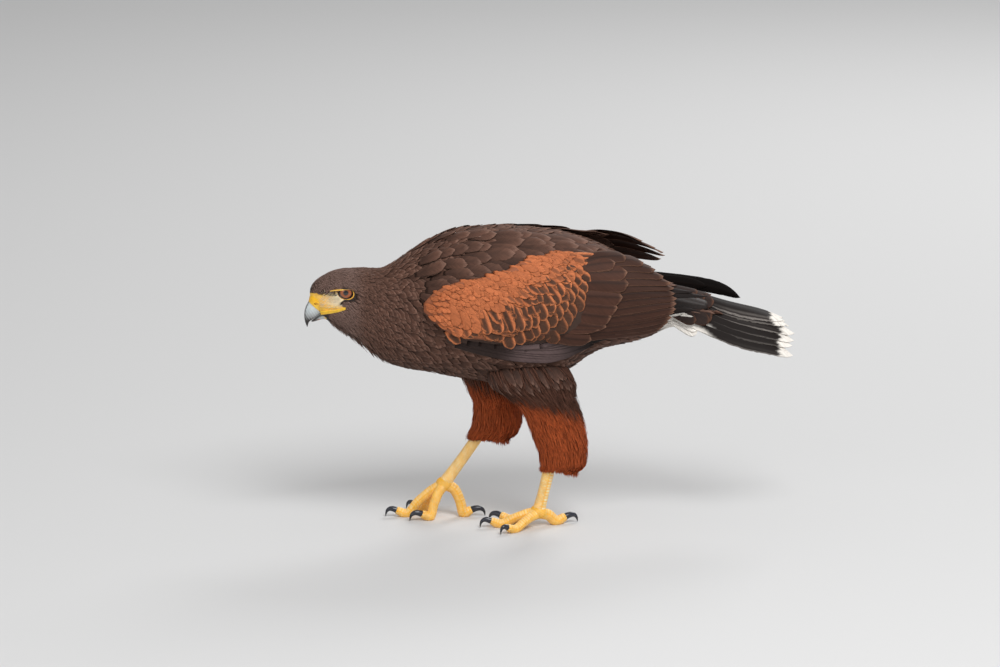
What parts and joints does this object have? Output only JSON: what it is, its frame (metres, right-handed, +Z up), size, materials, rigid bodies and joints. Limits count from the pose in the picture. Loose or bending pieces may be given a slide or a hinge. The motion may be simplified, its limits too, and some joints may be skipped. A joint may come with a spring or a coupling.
{
  "type": "harris hawk",
  "caption": "Still, life-size museum model of a brown hawk with rufous shoulders and thighs, walking with its head held low.",
  "frame": {"origin": "on the floor, below the middle of the whole model's box", "axes": "+Z up; the bird faces -X, its left side is -Y; metres"},
  "size_m": [0.5142, 0.1332, 0.3181],
  "materials": {
    "plumage": "soft dark brown contour feathers with paler edges",
    "shoulder": "rufous shoulder feathers with dark centres, dark brown flight feathers",
    "trousers": "long soft chestnut thigh feathers",
    "flight": "smooth near-black vanes, the tail with white tips",
    "cere": "waxy yellow skin",
    "horn": "pale blue-grey horn with a dark tip",
    "eye": "wet, clear, brown iris round a black pupil",
    "legs": "yellow scaled skin",
    "claws": "dark slate horn, polished by wear"
  },
  "bodies": {
    "root": {"bill_lower": "horn", "bill_upper": "horn", "cere": "cere", "claw_left_hind": "claws", "claw_left_inner": "claws", "claw_left_middle": "claws", "claw_left_outer": "claws", "claw_right_hind": "claws", "claw_right_inner": "claws", "claw_right_middle": "claws", "claw_right_outer": "claws", "eye_left": "eye", "eye_right": "eye", "foot_left": "legs", "foot_right": "legs", "head": "plumage", "neck": "plumage", "tail": "flight", "thigh_left": "trousers", "thigh_right": "trousers", "torso": "plumage", "wing_left_arm": "shoulder", "wing_left_hand": "flight", "wing_right_arm": "shoulder", "wing_right_hand": "flight"}
  },
  "joints": []
}
